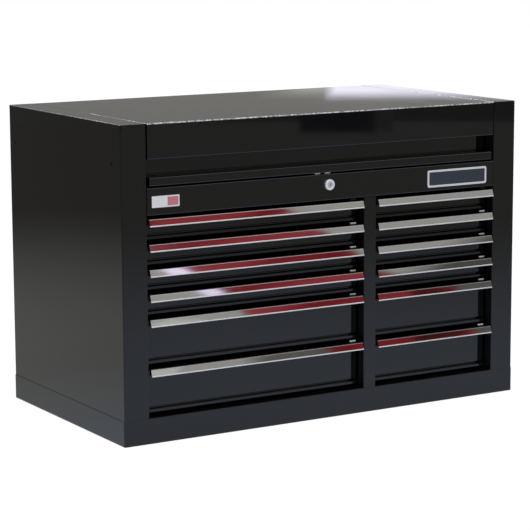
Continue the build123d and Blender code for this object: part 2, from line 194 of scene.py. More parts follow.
@dataclass(frozen=True)
class PowderCoat(Finish):
    """Gloss black polyester powder, sprayed on sheet steel and baked.

    To the eye it is a black mirror: nearly all of its light is reflected, broken only by a very
    shallow orange peel and by a faint haze where it has been handled.
    """

    name: str = "gloss_black_powder_coat_on_steel"
    colour: str = "#0c0c0d"
    wear_and_highlight_colour: str = "#101010"
    roughness: tuple[float, float] = (0.02, 0.045)
    ior: float = 1.5
    # Real orange peel is 2 to 3 mm across; it is drawn at 8 mm so that it shows
    peel_width: float = 8 * MM
    peel_depth: float = 0.004 * MM
    haze_width: float = 140 * MM

    def shader(self, tree: Tree) -> bpy.types.Node:
        """Builds the black mirror with its peel and haze.

        Args:
            tree: The material's tree.

        Returns:
            The shader.
        """
        place = add_node(tree, "ShaderNodeTexCoord").outputs["Object"]
        haze = add_node(tree, "ShaderNodeTexNoise", {
            "Vector": place, "Scale": 1 / self.haze_width, "Detail": 4.0,
        }).outputs[0]
        peel = add_node(tree, "ShaderNodeTexNoise", {
            "Vector": place, "Scale": 1 / self.peel_width, "Detail": 1.0,
        }).outputs[0]
        tone = add_node(tree, "ShaderNodeMixRGB", {
            "Fac": haze, "Color1": linear(self.colour), "Color2": linear(self.wear_and_highlight_colour),
        }).outputs[0]
        gloss = add_node(tree, "ShaderNodeMapRange", {
            "Value": haze, "From Min": NOISE_SPAN[0], "From Max": NOISE_SPAN[1],
            "To Min": self.roughness[0], "To Max": self.roughness[1],
        }).outputs[0]
        bump = add_node(tree, "ShaderNodeBump", {
            "Height": peel, "Distance": self.peel_depth,
        }).outputs[0]
        return add_node(tree, "ShaderNodeBsdfPrincipled", {
            "Base Color": tone, "Roughness": gloss, "IOR": self.ior, "Normal": bump,
        })


@dataclass(frozen=True)
class DrawnMetal(Finish):
    """A metal whose surface was made by drawing, extruding, plating or polishing.

    Args:
        colour, second_colour: The metal's tone and the tone of its cloudy patches.
        roughness: From the brightest to the dullest line.
        cloud_width: Width of the patches.
        line_width, line_length: Spacing and length of the lines that the die or the polishing
            belt leaves along X.
        line_depth: Depth of those lines.
        mirror: How much of its light is mirrored; a satin surface scatters the rest.
    """

    colour: str
    second_colour: str
    roughness: tuple[float, float]
    cloud_width: float
    line_width: float
    line_length: float
    line_depth: float
    mirror: float = 1.0

    def shader(self, tree: Tree) -> bpy.types.Node:
        """Builds the metal with its clouds and its lines along X.

        Args:
            tree: The material's tree.

        Returns:
            The shader.
        """
        place = add_node(tree, "ShaderNodeTexCoord").outputs["Object"]
        cloud = add_node(tree, "ShaderNodeTexNoise", {
            "Vector": place, "Scale": 1 / self.cloud_width, "Detail": 3.0,
        }).outputs[0]
        across = 1 / self.line_width
        stretched = add_node(tree, "ShaderNodeMapping", {
            "Vector": place, "Scale": (1 / self.line_length, across, across),
        }).outputs[0]
        lines = add_node(tree, "ShaderNodeTexNoise", {
            "Vector": stretched, "Scale": 1.0, "Detail": 2.0,
        }).outputs[0]
        tone = add_node(tree, "ShaderNodeMixRGB", {
            "Fac": cloud, "Color1": linear(self.colour), "Color2": linear(self.second_colour),
        }).outputs[0]
        gloss = add_node(tree, "ShaderNodeMapRange", {
            "Value": lines, "From Min": NOISE_SPAN[0], "From Max": NOISE_SPAN[1],
            "To Min": self.roughness[0], "To Max": self.roughness[1],
        }).outputs[0]
        bump = add_node(tree, "ShaderNodeBump", {
            "Height": lines, "Distance": self.line_depth,
        }).outputs[0]
        return add_node(tree, "ShaderNodeBsdfPrincipled", {
            "Base Color": tone, "Metallic": self.mirror, "Roughness": gloss, "Normal": bump,
        })


@dataclass(frozen=True)
class FoldWithPaintedHighlight(Finish):
    """Powder coat over a sharp fold, painted grey with near-white stretches as a painted highlight.

    To the eye it is a fine light line along the top edges, broken in stretches; the line is painted
    highlight.
    """

    name: str = "powder_coat_with_painted_highlight_on_folds"
    base_tone: str = "#5c5c5f"
    highlight_colour: str = "#cdcdd2"
    roughness: float = 0.24
    # Stretches of painted highlight follow the fold and are a few millimetres long
    patch_length: float = 7 * MM
    patch_span: tuple[float, float] = (0.35, 0.6)

    def shader(self, tree: Tree) -> bpy.types.Node:
        """Builds the fold with its stretches of painted highlight.

        Args:
            tree: The material's tree.

        Returns:
            The shader.
        """
        place = add_node(tree, "ShaderNodeTexCoord").outputs["Object"]
        patches = add_node(tree, "ShaderNodeTexNoise", {
            "Vector": place, "Scale": 1 / self.patch_length, "Detail": 3.0,
        }).outputs[0]
        painted_glint = add_node(tree, "ShaderNodeMapRange", {
            "Value": patches, "From Min": self.patch_span[0], "From Max": self.patch_span[1],
        }).outputs[0]
        tone = add_node(tree, "ShaderNodeMixRGB", {
            "Fac": painted_glint, "Color1": linear(self.base_tone), "Color2": linear(self.highlight_colour),
        }).outputs[0]
        return add_node(tree, "ShaderNodeBsdfPrincipled", {
            "Base Color": tone, "Metallic": painted_glint, "Roughness": self.roughness,
        })


@dataclass(frozen=True)
class TabWithPaintedShadeAndHighlight(Finish):
    """Pressed steel painted black as painted shade, with a near-white painted highlight along its upper
    edge.

    To the eye it is a black tab with a white point of light along its upper edge: the black is painted
    shade and the white a painted highlight.
    """

    name: str = "tab_with_painted_shade_and_painted_highlight"
    base_tone: str = "#0c0c0d"
    wear_and_highlight_colour: str = "#fbfcff"
    roughness: float = 0.45
    # Shares of the piece's height between which the painted highlight begins and is complete
    highlight_heights: tuple[float, float] = (0.845, 0.875)
    # The painted highlight is uneven over a few millimetres
    patch_length: float = 4 * MM
    patch_span: tuple[float, float] = (0.2, 0.5)

    def shader(self, tree: Tree) -> bpy.types.Node:
        """Builds the black painted shade with its painted highlight along the upper edge.

        Args:
            tree: The material's tree.

        Returns:
            The shader.
        """
        place = add_node(tree, "ShaderNodeTexCoord")
        axes = add_node(tree, "ShaderNodeSeparateXYZ", {0: place.outputs["Generated"]})
        highlight_band = add_node(tree, "ShaderNodeMapRange", {
            "Value": axes.outputs["Z"], "From Min": self.highlight_heights[0], "From Max": self.highlight_heights[1],
        }).outputs[0]
        patches = add_node(tree, "ShaderNodeTexNoise", {
            "Vector": place.outputs["Object"], "Scale": 1 / self.patch_length, "Detail": 2.0,
        }).outputs[0]
        painted_glint = add_node(tree, "ShaderNodeMapRange", {
            "Value": patches, "From Min": self.patch_span[0], "From Max": self.patch_span[1],
        }).outputs[0]
        share = add_node(tree, "ShaderNodeMath", {0: highlight_band, 1: painted_glint}, operation="MULTIPLY").outputs[0]
        tone = add_node(tree, "ShaderNodeMixRGB", {
            "Fac": share, "Color1": linear(self.base_tone), "Color2": linear(self.wear_and_highlight_colour),
        }).outputs[0]
        return add_node(tree, "ShaderNodeBsdfPrincipled", {
            "Base Color": tone, "Roughness": self.roughness,
        })


@dataclass(frozen=True)
class PrintedFilm(Finish):
    """Vinyl film, printing ink or baked enamel: smooth, with the faint mottle of a print."""

    colour: str
    mottle_colour: str
    roughness: float
    ior: float = 1.5
    # Print grain is under 0.1 mm; it is drawn at 2 mm so that it shows
    grain: float = 2 * MM

    def shader(self, tree: Tree) -> bpy.types.Node:
        """Builds the film with its mottle.

        Args:
            tree: The material's tree.

        Returns:
            The shader.
        """
        place = add_node(tree, "ShaderNodeTexCoord").outputs["Object"]
        mottle = add_node(tree, "ShaderNodeTexNoise", {
            "Vector": place, "Scale": 1 / self.grain, "Detail": 2.0,
        }).outputs[0]
        tone = add_node(tree, "ShaderNodeMixRGB", {
            "Fac": mottle, "Color1": linear(self.colour), "Color2": linear(self.mottle_colour),
        }).outputs[0]
        return add_node(tree, "ShaderNodeBsdfPrincipled", {
            "Base Color": tone, "Roughness": self.roughness, "IOR": self.ior,
        })


POWDER_COAT = PowderCoat()
# Fold finish whose light line is a painted highlight
FOLD_WITH_PAINTED_HIGHLIGHT = FoldWithPaintedHighlight()
# Latch finish: black painted shade with a painted highlight along the top
TAB_WITH_PAINTED_SHADE_AND_HIGHLIGHT = TabWithPaintedShadeAndHighlight()
# Aluminium extruded through a die, bright dipped and clear anodised: a mirror with soft streaks
# along the pull
ALUMINIUM = DrawnMetal(
    "bright_dipped_extruded_aluminium", "#e4e4e2", "#dcdcda", (0.025, 0.05),
    cloud_width=90 * MM, line_width=3 * MM, line_length=500 * MM, line_depth=0.0008 * MM,
)
# The same aluminium where fingers have worn it satin, along the nose: white in any light
SATIN_ALUMINIUM = DrawnMetal(
    "hand_worn_satin_aluminium", "#fbfaf8", "#f3f1ee", (0.5, 0.6),
    cloud_width=30 * MM, line_width=2 * MM, line_length=80 * MM, line_depth=0.001 * MM,
)
# The same aluminium darkened to a dull grey on the upper side, as painted shade
ALUMINIUM_WITH_PAINTED_TOP_SHADE = DrawnMetal(
    "extruded_aluminium_with_painted_top_shade", "#8d8b88", "#83817e", (0.3, 0.4),
    cloud_width=60 * MM, line_width=2 * MM, line_length=300 * MM, line_depth=0.002 * MM,
)
# Steel drawn cold and zinc plated: grey with faint blue and straw clouds
ZINC = DrawnMetal(
    "zinc_plated_cold_drawn_steel", "#b9bdc4", "#bdb8aa", (0.28, 0.42),
    cloud_width=14 * MM, line_width=2 * MM, line_length=60 * MM, line_depth=0.004 * MM,
)
# Die-cast zinc under satin chrome: a white shine without sharp images
CHROME = DrawnMetal(
    "satin_chromed_zinc_casting", "#f2f4f8", "#e9ecf2", (0.42, 0.52),
    cloud_width=6 * MM, line_width=2 * MM, line_length=8 * MM, line_depth=0.001 * MM,
)
# The same chrome on the bezel's front faces, partly white so that it scatters white: a painted shine
CHROME_WITH_PAINTED_SHINE = DrawnMetal(
    "chromed_zinc_casting_with_painted_shine", "#fcfdff", "#f4f7ff", (0.4, 0.5),
    cloud_width=6 * MM, line_width=2 * MM, line_length=8 * MM, line_depth=0.001 * MM,
    mirror=0.3,
)
# Pressed steel, bright zinc plated and tumbled: white points of light on the lid's small hooks
BRIGHT_ZINC = DrawnMetal(
    "tumbled_bright_zinc_on_pressed_steel", "#fbfcff", "#eef0f6", (0.5, 0.62),
    cloud_width=5 * MM, line_width=2 * MM, line_length=9 * MM, line_depth=0.003 * MM,
    mirror=0.4,
)
# Stamped plate with a raised rim in pale enamel and a sunk field in dark enamel, both baked
PLATE_RIM = PrintedFilm("baked_pale_enamel", "#e9edf5", "#dfe4ee", 0.3)
PLATE_FIELD = PrintedFilm("baked_slate_enamel", "#363e4c", "#323a47", 0.3)
# Vinyl film with a block of ink: pale and half matt, with a muted red
LABEL_FILM = PrintedFilm("pale_vinyl_label_film", "#f3f6fd", "#e9edf7", 0.35)
LABEL_INK = PrintedFilm("muted_red_label_ink", "#d8868e", "#cf7c85", 0.35)


def rectangle_loop(width: float, height: float, radius: float, level: float, steps: int = 6) -> Loop:
    """Rounded rectangle about the origin.

    Args:
        width: Size along X.
        height: Size along Y.
        radius: Radius of the corners.
        level: Height of the loop on Z.
        steps: Straight pieces in each corner.

    Returns:
        Its points, anticlockwise seen from +Z.
    """
    points = []
    for corner, (sx, sy) in enumerate(((1, 1), (-1, 1), (-1, -1), (1, -1))):
        middle = Vector((sx * (width / 2 - radius), sy * (height / 2 - radius), level))
        for step in range(steps + 1):
            turn = QUARTER_TURN * (corner + step / steps)
            points.append(middle + Vector((math.cos(turn), math.sin(turn), 0)) * radius)
    return points


def circle_loop(centre: Vector, radius: float, level: float, count: int = 16) -> Loop:
    """Circle on Z about a centre, anticlockwise seen from +Z."""
    turns = [2 * math.pi * i / count for i in range(count)]
    return [centre + Vector((radius * math.cos(t), radius * math.sin(t), level)) for t in turns]


def ring_faces(count: int, start: int = 0) -> list[list[int]]:
    """Faces of the band between two loops that follow each other, from a start number on."""
    pairs = [(start + i, start + (i + 1) % count) for i in range(count)]
    return [[here, after, after + count, here + count] for here, after in pairs]


def link_mesh(
    name: str, points: Loop, faces: list[list[int]], materials: list[bpy.types.Material],
) -> bpy.types.Object:
    """Makes a mesh object and links it to the scene.

    Args:
        name: Name of the object and of its mesh.
        points: Its corners.
        faces: The numbers of each face's corners.
        materials: Its materials.

    Returns:
        The new object.
    """
    mesh = bpy.data.meshes.new(name)
    mesh.from_pydata(points, [], faces)
    for material in materials:
        mesh.materials.append(material)
    made = bpy.data.objects.new(name, mesh)
    bpy.context.scene.collection.objects.link(made)
    return made


@dataclass
class MeshBuilder:
    """Collects stacks of loops and makes them one mesh object."""

    name: str
    points: Loop = field(default_factory=list)
    faces: list[list[int]] = field(default_factory=list)
    marks: list[int] = field(default_factory=list)

    def stack(self, loops: list[Loop], marks: Iterable[int]) -> None:
        """Joins loops of equal length into one closed skin.

        Args:
            loops: The loops, from the bottom up.
            marks: Material number of each band between loops, then of the top; the bottom has
                the first.
        """
        count = len(loops[0])
        start = len(self.points)
        marks = list(marks)
        for loop in loops:
            self.points += loop
        self.faces.append([start + i for i in reversed(range(count))])
        self.marks.append(marks[0])
        for level in range(len(loops) - 1):
            self.faces += ring_faces(count, start + level * count)
            self.marks += [marks[level]] * count
        top = start + (len(loops) - 1) * count
        self.faces.append([top + i for i in range(count)])
        self.marks.append(marks[-1])

    def make(self, finishes: list[Finish], place: Matrix, smooth: bool = False) -> bpy.types.Object:
        """Makes the object.

        Args:
            finishes: The finish of each material number.
            place: Where the object stands.
            smooth: Whether its faces are shaded as one round surface.

        Returns:
            The new object, linked to the scene.
        """
        materials = [finish.material() for finish in finishes]
        made = link_mesh(self.name, self.points, self.faces, materials)
        made.data.polygons.foreach_set("material_index", self.marks)
        made.data.polygons.foreach_set("use_smooth", [smooth] * len(self.faces))
        made.matrix_world = place
        return made


def on_front(x: float, y: float, z: float) -> Matrix:
    """Placement that turns a piece's own Z to the chest's front."""
    return Matrix.Translation((x, y, z)) @ Matrix.Rotation(QUARTER_TURN, 4, "X")


def on_back(x: float, y: float, z: float) -> Matrix:
    """Placement that turns a piece's own Z to the chest's rear."""
    return Matrix.Translation((x, y, z)) @ Matrix.Rotation(-QUARTER_TURN, 4, "X")


def on_fascia(x: float, drop: float) -> Matrix:
    """Placement against the fascia, at a drop below the top of the case."""
    return on_front(x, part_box("till_pan")[0].y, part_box("side_columns")[1].z - drop)


def split_solids(mesh: bpy.types.Mesh) -> list[list[bpy.types.MeshPolygon]]:
    """Groups a mesh's faces into its separate solids.

    Vertices at one place count as one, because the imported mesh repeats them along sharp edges.

    Args:
        mesh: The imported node's mesh.

    Returns:
        The faces of each solid, the largest solid first.
    """
    places: dict[tuple, int] = {}
    root = [places.setdefault(tuple(round(c, 6) for c in v.co), v.index) for v in mesh.vertices]

    def leader(index: int) -> int:
        """Finds the vertex that stands for a vertex's group.

        Args:
            index: The vertex's number.

        Returns:
            The number of the vertex that stands for it.
        """
        while root[index] != index:
            root[index] = root[root[index]]
            index = root[index]
        return index

    for polygon in mesh.polygons:
        first = leader(polygon.vertices[0])
        for other in polygon.vertices[1:]:
            root[leader(other)] = first
    groups: dict[int, list[bpy.types.MeshPolygon]] = {}
    for polygon in mesh.polygons:
        groups.setdefault(leader(polygon.vertices[0]), []).append(polygon)
    return sorted(groups.values(), key=lambda faces: -sum(face.area for face in faces))


def coat(node: str, *finishes: Finish) -> bpy.types.Object:
    """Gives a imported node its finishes, and the first of them all over.

    Args:
        node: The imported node.
        *finishes: The finish of each material number.

    Returns:
        The node's object.
    """
    dressed = frame["nodes"][node]
    dressed.data.materials.clear()
    for finish in finishes:
        dressed.data.materials.append(finish.material())
    LOG.info("%s: %s", node, ", ".join(finish.name for finish in finishes))
    return dressed


def coat_main_solid(node: str, finish: Finish, hardware: Finish) -> None:
    """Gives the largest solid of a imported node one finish, and the small solids on it another.

    Args:
        node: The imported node.
        finish: The finish of the sheet-metal piece.
        hardware: The finish of the fittings that share its node.
    """
    dressed = coat(node, finish, hardware)
    for faces in split_solids(dressed.data)[1:]:
        for face in faces:
            face.material_index = SECOND_FINISH


def paint_highlight_on_top_folds(node: str, depth: float, along: Axis) -> None:
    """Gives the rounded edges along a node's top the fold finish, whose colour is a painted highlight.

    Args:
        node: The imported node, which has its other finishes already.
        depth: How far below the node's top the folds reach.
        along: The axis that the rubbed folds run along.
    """
    dressed = frame["nodes"][node]
    dressed.data.materials.append(FOLD_WITH_PAINTED_HIGHLIGHT.material())
    painted_glint = len(dressed.data.materials) - 1
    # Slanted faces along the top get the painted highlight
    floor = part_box(node)[1].z - depth
    for face in dressed.data.polygons:
        slanted = max(abs(part) for part in face.normal) < FOLD_LIMIT
        lengthwise = abs(face.normal[along.value]) < FOLD_END_LIMIT
        if slanted and lengthwise and face.center.z > floor and face.normal.z > 0:
            face.material_index = painted_glint


@dataclass
class CaseShell:
    """The painted steel case, with the plated pins of the struts on its columns."""

    painted: tuple[str, ...] = ("base_pan", "centre_divider", "till_pan")
    column_width: float = 60.5 * MM
    # The pins' faces lie further in than the columns' inner walls by more than this
    pin_margin: float = 0.0605 * MM
    fold_depth: float = 1.6 * MM

    def dress(self) -> None:
        """Paints the case and plates its hardware."""
        for node in self.painted:
            coat(node, POWDER_COAT)
        coat_main_solid("back_panel", POWDER_COAT, ZINC)
        columns = coat("side_columns", POWDER_COAT, ZINC)
        inner_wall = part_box("side_columns")[1].x - self.column_width
        for face in columns.data.polygons:
            if abs(face.center.x) < inner_wall - self.pin_margin:
                face.material_index = SECOND_FINISH
        # Painted highlight along the columns' top folds
        paint_highlight_on_top_folds("side_columns", self.fold_depth, Axis.Y)


@dataclass
class LiftLid:
    """The painted lid with its plated hooks and hinge leaf."""

    fold_depth: float = 3.2 * MM
    roll_radius: float = 0.9 * MM
    roll_reach: float = 0.5 * MM
    end_inset: float = 4 * MM

    def dress(self) -> None:
        """Paints the lid and plates its hardware."""
        coat_main_solid("lid", POWDER_COAT, BRIGHT_ZINC)
        # Painted highlight along the lid's top folds
        paint_highlight_on_top_folds("lid", self.fold_depth, Axis.X)

    def build(self) -> None:
        """Rounds the two cut ends of the top with a fine rolled edge each, in the fold finish with its
        painted highlight.
        """
        low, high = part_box("lid")
        builder = MeshBuilder("lid_rolled_ends")
        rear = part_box("side_columns")[1].y - self.end_inset
        length = rear - low.y - self.end_inset
        for side, end in ((-1, low.x), (1, high.x)):
            middle = Vector((end - side * (self.roll_radius - self.roll_reach), 0, 0))
            loops = [circle_loop(middle, self.roll_radius, level) for level in (0, length)]
            builder.stack(loops, [0, 0])
        place = on_front(0, rear, high.z - self.roll_radius)
        rolled = builder.make([FOLD_WITH_PAINTED_HIGHLIGHT], place, smooth=True)
        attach(rolled, "lid")
        LOG.info("%s: two ends", rolled.name)


@dataclass
class Lock:
    """The chromed lock and the plated bar that it works."""

    def dress(self) -> None:
        """Gives the lock its plating, with a painted white shine on the bezel's front faces."""
        housing = coat("lock_housing", CHROME, CHROME_WITH_PAINTED_SHINE)
        for face in housing.data.polygons:
            # Front faces get the chrome with a painted white shine
            if face.normal.y < -TOWARDS_AXIS:
                face.material_index = SECOND_FINISH
        coat("lock_plug", CHROME)
        coat("lock_bar", ZINC)


@dataclass
class GasStruts:
    """Painted cylinders and bright rods that hold the lid up."""

    def dress(self) -> None:
        """Paints the cylinders and plates the rods."""
        coat("gas_strut_cylinders", POWDER_COAT)
        coat("gas_strut_rods", CHROME)


@dataclass
class DrawerBanks:
    """Painted trays, aluminium pulls, latches in painted shade with a painted highlight, and plated
    slides.
    """

    rows: int = 6
    nose_height: float = 3.4 * MM
    # How far the pull's front wall leans back from the nose
    front_reach: float = 6.2 * MM

    def dress_pull(self, node: str) -> None:
        """Gives a pull a mirror front, a satin nose, an upper side darkened as painted shade, and cut ends
        and inside painted black as painted shade.

        Args:
            node: The pull's node.
        """
        finishes = (ALUMINIUM, SATIN_ALUMINIUM, ALUMINIUM_WITH_PAINTED_TOP_SHADE, POWDER_COAT)
        pull = coat(node, *finishes)
        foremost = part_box(node)[0]
        nose_top = foremost.z + self.nose_height
        inside = foremost.y + self.front_reach
        for face in pull.data.polygons:
            # Cut ends and the inside are painted black where they lie in shade: painted shade
            cut = abs(face.normal.x) > ALONG_AXIS
            if cut or (face.center.y > inside and face.normal.z < TOWARDS_AXIS):
                face.material_index = finishes.index(POWDER_COAT)
            elif face.center.z < nose_top:
                face.material_index = finishes.index(SATIN_ALUMINIUM)
            # Upward faces get a darker grey copy of the aluminium: painted shade
            elif face.normal.z > TOWARDS_AXIS:
                face.material_index = finishes.index(ALUMINIUM_WITH_PAINTED_TOP_SHADE)

    def dress(self) -> None:
        """Gives every drawer its finishes."""
        coat("case_slide_channels", ZINC)
        for bank in Bank:
            for row in range(1, self.rows + 1):
                name = f"{bank.value}_{row}"
                coat_main_solid(f"drawer_tray_{name}", POWDER_COAT, ZINC)
                self.dress_pull(f"drawer_pull_{name}")
                # The fascia shades the top row's latches, so they are painted black all over as painted
                # shade
                coat(f"drawer_latch_{name}", TAB_WITH_PAINTED_SHADE_AND_HIGHLIGHT if row > 1 else POWDER_COAT)
                coat(f"slide_carriages_{name}", ZINC)


@dataclass
class MakersPlate:
    """Bare stamped plate at the right end of the fascia."""

    middle_x: float = 354 * MM
    middle_drop: float = 169 * MM
    width: float = 168 * MM
    height: float = 40 * MM
    corner: float = 5 * MM
    rim: float = 4.4 * MM
    thickness: float = 1.6 * MM
    sunk: float = 0.6 * MM
    edge: float = 0.4 * MM

    def build(self) -> None:
        """Makes the plate and fixes it to the case."""
        inner_width = self.width - 2 * self.rim
        inner_height = self.height - 2 * self.rim
        inner_corner = self.corner - self.rim / 2
        edges = 2 * self.edge
        top = self.thickness
        outlines = (
            (self.width, self.height, self.corner, 0),
            (self.width, self.height, self.corner, top - self.edge),
            (self.width - edges, self.height - edges, self.corner - self.edge, top),
            (inner_width, inner_height, inner_corner, top),
            (inner_width - edges, inner_height - edges, inner_corner - self.edge, top - self.sunk),
        )
        builder = MeshBuilder("makers_plate")
        builder.stack([rectangle_loop(*outline) for outline in outlines], (0, 0, 0, 0, 1))
        plate = builder.make([PLATE_RIM, PLATE_FIELD], on_fascia(self.middle_x, self.middle_drop))
        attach(plate, "case")
        LOG.info("%s: bare", plate.name)


@dataclass
class PrintedLabel:
    """Bare pale label with one plain block of colour, at the left end of the fascia."""

    middle_x: float = -414.5 * MM
    middle_drop: float = 168.5 * MM
    width: float = 67 * MM
    height: float = 25 * MM
    corner: float = 1.5 * MM
    thickness: float = 0.2 * MM
    block_width: float = 26 * MM
    block_height: float = 19 * MM
    block_margin: float = 3 * MM
    ink: float = 0.05 * MM

    def build(self) -> None:
        """Makes the label and sticks it to the case."""
        film = (self.width, self.height, self.corner)
        block = (self.block_width, self.block_height, self.corner / 2)
        builder = MeshBuilder("printed_label")
        builder.stack([rectangle_loop(*film, level) for level in (0, self.thickness)], (0, 0))
        shift = Vector(((self.width - self.block_width) / 2 - self.block_margin, 0, 0))
        levels = (self.thickness, self.thickness + self.ink)
        loops = [[point + shift for point in rectangle_loop(*block, level)] for level in levels]
        builder.stack(loops, (1, 1))
        label = builder.make([LABEL_FILM, LABEL_INK], on_fascia(self.middle_x, self.middle_drop))
        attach(label, "case")
        LOG.info("%s: bare", label.name)


@dataclass
class HingeRivets:
    """Round rivet heads along the two leaves of the hinge."""

    count: int = 12
    end_inset: float = 40 * MM
    leaf_offset: float = 12 * MM
    leaf_sheet: float = 1.2 * MM
    hinge_drop: float = 25 * MM
    head_radius: float = 2.6 * MM
    head_height: float = 1.2 * MM
    head_levels: int = 4
    # The head's round side stops a little short of its crown
    head_arc: float = math.radians(80)

    def row(self, name: str, body: str, rise: float) -> None:
        """Makes the rivets of one leaf.

        Args:
            name: Name of the piece.
            body: The body that carries the leaf.
            rise: Height of the row above the hinge's axis.
        """
        low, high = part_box("lid")
        builder = MeshBuilder(name)
        span = high.x - low.x - 2 * self.end_inset
        turns = [self.head_arc * k / (self.head_levels - 1) for k in range(self.head_levels)]
        head = [(self.head_radius * math.cos(t), self.head_height * math.sin(t)) for t in turns]
        for i in range(self.count):
            # Laid against the rear, the piece's own X runs the same way as the chest's
            middle = Vector((low.x + self.end_inset + span * i / (self.count - 1), 0, 0))
            loops = [circle_loop(middle, radius, level) for radius, level in head]
            builder.stack(loops, [0] * self.head_levels)
        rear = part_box("side_columns")[1].y + self.leaf_sheet
        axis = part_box("side_columns")[1].z - self.hinge_drop
        rivets = builder.make([ZINC], on_back(0, rear, axis + rise), smooth=True)
        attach(rivets, body)
        LOG.info("%s: %d heads", rivets.name, self.count)

    def build(self) -> None:
        """Makes both rows."""
        self.row("hinge_rivets_case", "case", -self.leaf_offset)
        self.row("hinge_rivets_lid", "lid", self.leaf_offset)


@dataclass
class StripLamp:
    """A long soft lamp, aimed at a point on the chest."""

    name: str
    place: tuple[float, float, float]
    length: float
    width: float
    radiance: float
    target: tuple[float, float, float] = (0.0, 0.0, 0.4)

    def build(self) -> None:
        """Hangs the lamp."""
        data = bpy.data.lights.new(self.name, "AREA")
        data.shape = "RECTANGLE"
        data.size, data.size_y = self.length, self.width
        data.energy = self.radiance * math.pi * self.length * self.width
        lamp = bpy.data.objects.new(self.name, data)
        aim = (Vector(self.target) - Vector(self.place)).to_track_quat("-Z", "Y")
        lamp.matrix_world = Matrix.Translation(self.place) @ aim.to_matrix().to_4x4()
        lamp.visible_camera = False
        bpy.context.scene.collection.objects.link(lamp)


def only_in_reflections(flag: bpy.types.Object) -> None:
    """Hides a flag or card from everything but gloss.

    Args:
        flag: The flag or card.
    """
    flag.visible_camera = False
    flag.visible_diffuse = False
    flag.visible_transmission = False
    flag.visible_volume_scatter = False
    flag.visible_shadow = False


@dataclass(frozen=True)
class ReflectorCard:
    """A coloured card with a soft border, which stands in the studio and shows only in gloss.

    Args:
        bearing: Direction in which the card stands, clockwise from the rear of the chest.
        distance: How far away its plane stands, square to that direction.
        outline: Its points on that plane, to the left seen from the chest and above the floor,
            anticlockwise.
        border: Width of the soft border outside the outline, across and upwards.
        tone, streak_tone: Its colour and the colour of its streaks.
        border_tone: The colour that it fades through.
        light: Strength of its glow.
        streak_width, streak_slope: Spacing of the streaks and their lean.
        streak_stretch: How many streaks follow one another in a metre, end to end.
        streak_span: Values of the noise between which a streak begins and is complete.
    """

    name: str
    bearing: float
    distance: float
    outline: tuple[tuple[float, float], ...]
    border: tuple[float, float]
    tone: str
    streak_tone: str
    border_tone: str
    light: float = 1.0
    streak_width: float = 0.16
    streak_slope: float = math.radians(35)
    streak_stretch: float = 0.3
    streak_span: tuple[float, float] = (0.42, 0.62)

    def spread(self) -> list[tuple[float, float]]:
        """Moves the outline outwards by the border.

        Returns:
            The points of the border's outer edge.
        """
        corners = [Vector(point) for point in self.outline]
        moved = []
        for i, here in enumerate(corners):
            before, after = corners[i - 1], corners[(i + 1) % len(corners)]
            sides = [(here - before).normalized(), (after - here).normalized()]
            normals = [Vector((side.y, -side.x)) for side in sides]
            outward = sum(normals, Vector((0, 0))).normalized()
            moved.append((here.x + outward.x * self.border[0], here.y + outward.y * self.border[1]))
        return moved

    def material(self) -> bpy.types.Material:
        """Makes the card's glow, which fades to nothing at the border.

        Returns:
            The material.
        """
        made = bpy.data.materials.new(self.name)
        tree = empty_tree(made)
        cover = add_node(tree, "ShaderNodeAttribute", attribute_name="cover").outputs["Fac"]
        place = add_node(tree, "ShaderNodeTexCoord").outputs["Object"]
        slanted = add_node(tree, "ShaderNodeMapping", {
            "Vector": place, "Rotation": (0, self.streak_slope, 0),
            "Scale": (self.streak_stretch, self.streak_stretch, 1 / self.streak_width),
        }).outputs[0]
        streaks = add_node(tree, "ShaderNodeTexNoise", {
            "Vector": slanted, "Scale": 1.0, "Detail": 2.0,
        }).outputs[0]
        streak = add_node(tree, "ShaderNodeMapRange", {
            "Value": streaks, "From Min": self.streak_span[0], "From Max": self.streak_span[1],
        }).outputs[0]
        tone = add_node(tree, "ShaderNodeMixRGB", {
            "Fac": streak, "Color1": linear(self.tone), "Color2": linear(self.streak_tone),
        }).outputs[0]
        faded = add_node(tree, "ShaderNodeMixRGB", {
            "Fac": cover, "Color1": linear(self.border_tone), "Color2": tone,
        }).outputs[0]
        glow = add_node(tree, "ShaderNodeEmission", {"Color": faded, "Strength": self.light})
        clear = add_node(tree, "ShaderNodeBsdfTransparent")
        mixed = add_node(tree, "ShaderNodeMixShader", {0: cover, 1: clear.outputs[0], 2: glow.outputs[0]})
        add_node(tree, "ShaderNodeOutputMaterial", {"Surface": mixed.outputs[0]})
        return made

    def build(self) -> None:
        """Stands the card in the studio."""
        ahead = Vector((math.sin(self.bearing), math.cos(self.bearing), 0))
        across = Vector((-ahead.y, ahead.x, 0))
        flat = [*self.outline, *self.spread()]
        points = [ahead * self.distance + across * a + Vector((0, 0, z)) for a, z in flat]
        count = len(self.outline)
        faces = [list(range(count)), *ring_faces(count)]
        card = link_mesh(self.name, points, faces, [self.material()])
        cover = card.data.attributes.new("cover", "FLOAT", "POINT")
        cover.data.foreach_set("value", [1.0] * count + [0.0] * count)
        only_in_reflections(card)


@dataclass(frozen=True)
class FloorGrade:
    """How the floor's reflection falls off from the chest outwards.

    Args:
        near, far: Distances from the chest's middle between which it falls off.
        near_light, far_light: Its light at the two.
        near_tone, far_tone: Its colour at the two.
    """

    near: float
    far: float
    near_light: float
    far_light: float
    near_tone: str
    far_tone: str

    def colour(self, tree: Tree, distance: Socket) -> Socket:
        """Gives the floor's light at a distance.

        Args:
            tree: The flag's tree.
            distance: The distance from the chest's middle.

        Returns:
            The light, as a colour.
        """
        share = add_node(tree, "ShaderNodeMapRange", {
            "Value": distance, "From Min": self.near, "From Max": self.far,
        }, interpolation_type="SMOOTHSTEP").outputs[0]
        near, far = (
            tuple(part * light for part in linear(tone)[:3]) + (1.0,)
            for tone, light in ((self.near_tone, self.near_light), (self.far_tone, self.far_light))
        )
        return add_node(tree, "ShaderNodeMixRGB", {"Fac": share, "Color1": near, "Color2": far}).outputs[0]


